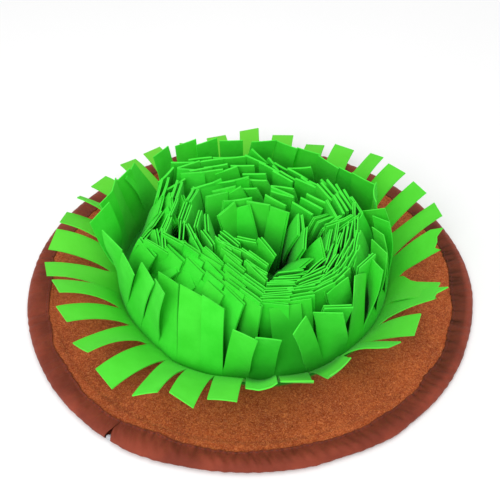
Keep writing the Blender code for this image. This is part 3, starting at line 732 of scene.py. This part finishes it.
def build_drawstring():
    curve = []
    hidden = NOTCH_DIRECTION - math.degrees(CORD_TUCK / RIM_RADIUS)
    bare_radius = RIM_RADIUS - CORD_MOUTH_INSET
    bare = NOTCH_DIRECTION
    bare += math.degrees((notch_setback(CORD_MOUTH_INSET) - CORD_PEEK) / bare_radius)
    for step in range(CORD_STEPS + 1):
        share = step / CORD_STEPS
        inset = mix(CORD_INSET, CORD_MOUTH_INSET, smooth(1.0 - share / CORD_MOUTH_SHARE))
        direction = mix(bare, hidden + 360.0, share)
        rim = read_round(BINDING_OUTLINE, direction, 1)
        curve.append(polar(rim - inset, direction, CORD_HEIGHT))
    corners = []
    up = np.array((0, 0, 1.0))
    # Step along the curve, and for the rounded ends how far beyond it and how thick.
    rings = [(0, -0.9, 0.35), (0, -0.6, 0.75)]
    rings += [(step, 0.0, 1.0) for step in range(CORD_STEPS + 1)]
    rings += [(CORD_STEPS, 0.6, 0.75), (CORD_STEPS, 0.9, 0.35)]
    for step, ahead, size in rings:
        along = curve[min(CORD_STEPS, step + 1)] - curve[max(0, step - 1)]
        along /= np.linalg.norm(along)
        outward = np.cross(along, up)
        for side in range(CORD_SIDES):
            turn = 2 * math.pi * side / CORD_SIDES
            around = outward * math.cos(turn) + up * math.sin(turn)
            corners.append(curve[step] + along * ahead * CORD_RADIUS + around * CORD_RADIUS * size)
    faces = tube_faces(0, len(rings), CORD_SIDES, False)
    cord = add_mesh("drawstring_cord", corners, faces, cord_braid(), 60.0)
    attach(cord, "root")
    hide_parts("drawstring")


# ---- fringed strips
class Strip:
    """Corners, with tint and painted shade, and quads of a strip before it has its thickness."""

    def __init__(self):
        self.corners = []
        self.faces = []

    def corner(self, *corner):
        self.corners.append(corner)
        return len(self.corners) - 1

    def leaf(self, tabs, cuts, band_at, stations, flip, painted_shade):
        """Adds a leaf; returns the numbers of its corners along the seam.

        tabs hold the directions of their two sides and their own surface, cuts the last station
        at which each tab is joined to the one before it, band_at gives a point of the uncut
        band from a direction and a station, and painted_shade is how deep in painted shade the seam
        lies.
        """
        seam = []
        # painted shade at the foot of the leaf, fading upwards
        bare = [painted_shade * (1.0 - smooth((station - SHADE_START) / SHADE_LENGTH))
                for station in stations]
        shared = [self.corner(band_at(tabs[0].span[0], at), tabs[0].tint, bare[at])
                  for at in range(cuts[0] + 1)]
        for tab, cut, next_cut in zip(tabs, cuts, cuts[1:]):
            # more painted shade on a tab that its neighbours shade, fading out towards its end
            share, reach = tab.shade
            painted_shades = [max(value, share * (1.0 - smooth((station / stations[-1] - reach + 0.2)
                                                       / SHADE_FADE)))
                      for value, station in zip(bare, stations)]
            columns = []
            for column in range(COLUMNS + 1):
                across = column / COLUMNS
                direction = mix(*tab.span, across)
                joined = mix(stations[cut], stations[next_cut], across)
                line = []
                for at, station in enumerate(stations):
                    if column == 0 and at <= cut:
                        line.append(shared[at])
                        continue
                    free = smooth((station - joined) / BLEND_LENGTH)
                    if column == COLUMNS and at <= next_cut:
                        free = 0.0
                    point = mix(band_at(direction, at), tab.grid[at][column], free)
                    line.append(self.corner(point, tab.tint, painted_shades[at]))
                columns.append(line)
            shared = columns[-1][:next_cut + 1]
            for left, right in zip(columns, columns[1:]):
                for at in range(len(stations) - 1):
                    quad = (left[at], right[at], right[at + 1], left[at + 1])
                    self.faces.append(quad if flip else tuple(reversed(quad)))
            seam += [line[0] for line in columns[(1 if seam else 0):]]
        return seam

    def stitch(self, first, second):
        """Joins the seam edges of two leaves by the fold between them."""
        for (a, b), (c, d) in zip(zip(first, first[1:]), zip(second, second[1:])):
            self.faces.append((a, b, d, c))


class Tab:
    """One tab of a leaf: a ribbon along a bent and twisted spine."""

    def __init__(self, span, foot, out, width, tint):
        self.span = span
        self.foot = foot
        self.out = out
        self.across = np.array((-out[1], out[0], 0.0))
        self.width = width
        self.tint = tint
        # painted shade from neighbours: its depth, and the share of the tab it covers
        self.shade = (0.0, 1.0)
        self.torn = None
        self.grid = None

    def spine(self, stations, leans, sides):
        """Points and directions of the spine, from its lean outwards and sideways."""
        up = np.array((0.0, 0.0, 1.0))
        point = np.array(self.foot, dtype=float)
        points = [point]
        ways = []
        for lean, side in zip(leans, sides):
            upright = self.out * math.sin(lean) + up * math.cos(lean)
            ways.append((upright * math.cos(side) + self.across * math.sin(side),
                         self.across * math.cos(side) - upright * math.sin(side)))
        for at in range(1, len(stations)):
            step = stations[at] - stations[at - 1]
            way = ways[at - 1][0] + ways[at][0]
            point = point + way / np.linalg.norm(way) * step
            points.append(point)
        return points, ways

    def lay(self, stations, leans, sides, twists, curls, slant=0.0):
        """Works out the tab's surface: a list of columns for every station."""
        points, ways = self.spine(stations, leans, sides)
        self.grid = []
        last = len(stations) - 1
        for at, (point, way, twist, curl) in enumerate(zip(points, ways, twists, curls)):
            along, across = way
            face = np.cross(across, along)
            sideways = across * math.cos(twist) + face * math.sin(twist)
            outward = face * math.cos(twist) - across * math.sin(twist)
            line = []
            for column in range(COLUMNS + 1):
                away = (column / COLUMNS - 0.5) * self.width
                bend = away if abs(curl) < 1e-6 else math.sin(curl * away) / curl
                rise = 0.0 if abs(curl) < 1e-6 else (1.0 - math.cos(curl * away)) / curl
                longer = slant * away + (self.torn[column] if self.torn else 0.0)
                drawn = along * longer if at == last else 0.0
                line.append(point + sideways * bend + outward * rise + drawn)
            self.grid.append(line)

    def aim(self, stations, shape, target):
        """Leans and turns that follow the shape and bring the end over the target's x and y."""
        axes = (self.out, self.across)
        length = stations[-1]
        wanted = [np.dot(target - self.foot[:2], axis[:2]) for axis in axes]
        turns = [math.asin(max(-0.9, min(0.9, far / length))) for far in wanted]
        for _ in range(5):
            bends = [[turn * part for part in shape] for turn in turns]
            end = self.spine(stations, *bends)[0][-1] - self.foot
            turns = [turn + 0.9 * (far - np.dot(end, axis)) / length
                     for turn, far, axis in zip(turns, wanted, axes)]
        return [[turn * part for part in shape] for turn in turns]


def grown(stations, start, end):
    """A share for each station that grows from start to end and has a mean near 1."""
    return [mix(start, end, station / stations[-1]) for station in stations]


def finish_strip(strip, name, nodes, felt):
    points, tints, painted_shades = zip(*strip.corners)
    corners, faces, rims = thicken(points, strip.faces, TAB_THICKNESS)
    piece = add_mesh(name, corners, faces, felt, 42.0, tints * 2, rims, painted_shades * 2)
    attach(piece, "root")
    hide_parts(*nodes)


def tab_end(direction, inner):
    """Place over which a tab of an inner row ends; inner is 0 for the outermost of these rows."""
    for low, high in zip(PILE_PLAN, PILE_PLAN[1:]):
        if direction <= high[0]:
            share = (direction - low[0]) / (high[0] - low[0])
            ends = np.array([mix(*pair, share) for pair in zip(low[1:], high[1:])])
            return mix(ends[:2], ends[2:], inner)
    raise ValueError("direction beyond the plan")


def build_inner_row(row, felt):
    chance = random.Random(SEED + 100 * row)
    inner = (row - 1) / (STRIP_ROWS - 2)
    share = ROW_SHARES[row - 1]
    middle = (CORE_OFFSET[0] * inner, CORE_OFFSET[1] * inner)
    seam_radius = mix(INNER_SEAM_RADIUS, CORE_SEAM_RADIUS, inner)
    low = (FELT_LOW_TOP if row == 1 else FELT_HIGH_TOP) + SEAT_GAP + TAB_THICKNESS / 2
    count = max(4, round(2 * math.pi * seam_radius / TAB_WIDTH))
    pitch = ROW_TURN / count
    half_turn = math.radians(pitch / 2)
    stations = STANDING_STATIONS
    strip = Strip()
    seams = []
    pairs = [[chance.uniform(*ends) for ends in PAIR_RANGES] for _ in range(count)]
    for leaf in (1, -1):
        radius = seam_radius + leaf * LEAF_SPACE / 2

        def band_at(direction, at, radius=radius):
            return polar(radius, direction, low + stations[at], middle)

        tabs = []
        for number in range(count):
            start = STRIP_START + pitch * number
            span = (start, start + pitch)
            facing = start + pitch / 2
            out = polar(1.0, facing, 0.0)
            foot = polar(radius * math.cos(half_turn), facing, low, middle)
            width = 2 * radius * math.sin(half_turn) - TAB_GAP
            tab = Tab(span, foot, out, width, chance.uniform(0.0, 0.10))
            shift, parting, twist, curl, slant = pairs[number]
            ends = [tab_end(edge, share) for edge in span]
            chord = ends[1] - ends[0]
            room = np.linalg.norm(chord)
            over = (ends[0] + ends[1]) / 2
            if number in PLACED_TABS[row]:
                *over, edge = PLACED_TABS[row][number]
                over = np.array(over) / 1000
                chord = polar(1.0, edge, 0.0)[:2]
            normal = np.array((chord[1], -chord[0])) / np.linalg.norm(chord)
            lean = math.asin(min(0.8, np.linalg.norm(over - foot[:2]) / TAB_LENGTH))
            away = abs(turn_between(facing, CLOSED_SIDE))
            parted = smooth((away - CLOSED_REACH) / CLOSED_FADE)
            gap = mix(LEAF_PITCH, parting, parted) / math.cos(lean)
            target = over + normal * (shift + leaf * gap / 2)
            turn = math.degrees(math.atan2(chord @ out[:2], chord @ tab.across[:2]))
            louvre = LOUVRE + LOUVRE_GROWTH * max(0.0, 1.0 - room / width)
            leans, sides = tab.aim(stations, grown(stations, *LEAN_GROWTH), target)
            twist = math.radians(max(-MOST_TURN, min(MOST_TURN, turn)) + louvre + twist)
            reach = STRONG_TWIST_LENGTH if abs(turn) > STRONG_TWIST else TWIST_LENGTH
            twists = [twist * smooth(station / reach) for station in stations]
            curls = [curl * smooth(station / CURL_LENGTH) for station in stations]
            tab.lay(stations, leans, sides, twists, curls, slant)
            tabs.append(tab)
        cuts = [STANDING_CUT] * (count + 1)
        # full painted shade at the seam of an inner row
        seams.append(strip.leaf(tabs, cuts, band_at, stations, leaf > 0, 1.0))
    strip.stitch(seams[1], seams[0])
    nodes = [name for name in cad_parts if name.startswith(f"strip_row{row:02d}_")]
    finish_strip(strip, f"fringe_row{row:02d}", nodes, felt)


def entry_at(table, span, otherwise):
    """The entry of a table whose direction lies between a tab's two sides."""
    return next((entry for entry in table if span[0] < entry[0] < span[1]), otherwise)


def with_spans(table):
    """A table's rows that begin with one side of a tab, and the directions of its two sides."""
    starts = [row[0] for row in table]
    return list(zip(table, zip(starts, [*starts[1:], starts[0] + 360.0])))


def outer_tab(row, span, low, tint, lying):
    """A tab of the outermost strip, its foot the chord of its part of the seam."""
    lean, side, twist, bow = (math.radians(degrees) for degrees in row[1:5])
    slant, curl = row[5:7]
    ends = [polar(read_round(OUTER_SEAM, edge, 1), edge, low) for edge in span]
    chord = ends[1] - ends[0]
    width = np.linalg.norm(chord)
    out = np.array((chord[1], -chord[0], 0.0)) / width
    tab = Tab(span, (ends[0] + ends[1]) / 2, out, width - TAB_GAP, tint)
    if lying:
        stations, shaded, widest = LYING_STATIONS, SHADED_LYING, LYING_WIDEST
        upturn = math.radians(row[7])
        leans = [math.pi / 2 - lean - bow * (1.0 - 2.0 * station / TAB_LENGTH)
                 - upturn * smooth((station / stations[-1] - UPTURN_START) / (1.0 - UPTURN_START))
                 for station in stations]
        sides = [side * smooth(station / LYING_TURN_LENGTH) for station in stations]
        tab.torn = entry_at(TORN_ENDS, span, (0.0,))[1:]
    else:
        stations, shaded, widest = STANDING_STATIONS, SHADED_STANDING, STANDING_WIDEST
        growth = grown(stations, *LEAN_GROWTH)
        leans = [lean * part + bow * (2.0 * station / TAB_LENGTH - 1.0)
                 for part, station in zip(growth, stations)]
        sides = [side * part for part in growth]
    tab.width = min(tab.width, widest)
    tab.shade = entry_at(shaded, span, (0.0, *tab.shade))[1:]
    twists = [twist * smooth(station / OUTER_TWIST_LENGTH) for station in stations]
    curls = [curl * smooth(station / OUTER_CURL_LENGTH) for station in stations]
    tab.lay(stations, leans, sides, twists, curls, slant)
    return tab


def build_outer_strip(felt):
    chance = random.Random(SEED + 5)
    low = FELT_LOW_TOP + SEAT_GAP + TAB_THICKNESS / 2
    strip = Strip()
    slopes = [(sum(span) / 2, math.radians(row[1]), math.radians(row[4]))
              for row, span in with_spans(LYING_TABS)]

    def standing_band(direction, at):
        return polar(read_round(OUTER_SEAM, direction, 1), direction, low + STANDING_STATIONS[at])

    def lying_band(direction, at):
        length = LYING_STATIONS[at]
        slope, bow = (read_round(slopes, direction, column) for column in (1, 2))
        rise = slope + bow * (1.0 - length / TAB_LENGTH)
        return polar(read_round(OUTER_SEAM, direction, 1) + length * math.cos(rise), direction,
                     low + length * math.sin(rise))

    standing = [outer_tab(row, span, low, chance.uniform(0.05, 0.2), False)
                for row, span in with_spans(STANDING_TABS)]
    lying = []
    for row, span in with_spans(LYING_TABS):
        tint = chance.uniform(0.30, 0.50) + 0.5 * bump_at(row[0], 100.0, 60.0)
        lying.append(outer_tab(row, span, low, tint, True))
    cuts = [STANDING_CUT] * (len(standing) + 1)
    # light painted shade at the seams of the outermost strip's two leaves
    strip.leaf(standing, cuts, standing_band, STANDING_STATIONS, True, 0.12)
    cuts = [row[8] for row in LYING_TABS]
    strip.leaf(lying, [*cuts, cuts[0]], lying_band, LYING_STATIONS, False, 0.1)
    nodes = [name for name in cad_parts
             if name.startswith(("strip_standing_", "strip_lying_"))]
    finish_strip(strip, "fringe_outer", nodes, felt)


# ---- stage
def build_stage():
    mesh = bpy.data.meshes.new("floor")
    mesh.from_pydata([(-3, -3, 0), (3, -3, 0), (3, 3, 0), (-3, 3, 0)], [], [(0, 1, 2, 3)])
    mesh.materials.append(plain_floor())
    link("floor", mesh)

    world = bpy.data.worlds.new("studio")
    world.use_nodes = True
    background = world.node_tree.nodes["Background"]
    background.inputs["Color"].default_value = (1, 1, 1, 1)
    background.inputs["Strength"].default_value = 0.74
    bpy.context.scene.world = world

    for name, place, size, power in (
        ("key", (-0.8, -1.5, 1.35), 1.4, 23.0),
        ("top", (0.3, 0.4, 2.0), 1.6, 10.0),
    ):
        light = bpy.data.lights.new(name, "AREA")
        light.size = size
        light.energy = power
        lamp = link(name, light)
        lamp.location = place
        lamp.rotation_euler = (-Vector(place)).to_track_quat("-Z", "Y").to_euler()

    camera_data = bpy.data.cameras.new("camera")
    camera_data.lens = CAMERA_FOCAL
    camera_data.sensor_width = 36.0
    camera = link("camera", camera_data)
    tilt = math.radians(CAMERA_ELEVATION)
    aim = Vector(CAMERA_AIM)
    camera.location = aim + Vector((0.0, -math.cos(tilt), math.sin(tilt))) * CAMERA_DISTANCE
    camera.rotation_euler = (aim - camera.location).to_track_quat("-Z", "Y").to_euler()
    bpy.context.scene.camera = camera
    bpy.context.scene.view_settings.view_transform = "Standard"


def plain_floor():
    paper = Nodes("floor_paper", roughness=0.9, specular=0.1)
    paper.colour(paper.blend(paper.noise(3.0), (0.9, 0.9, 0.9), (0.92, 0.92, 0.92)))
    return paper.material


build_stage()
build_base()
build_binding()
build_drawstring()
GREEN = green_felt()
build_outer_strip(GREEN)
for ROW in range(1, STRIP_ROWS):
    build_inner_row(ROW, GREEN)
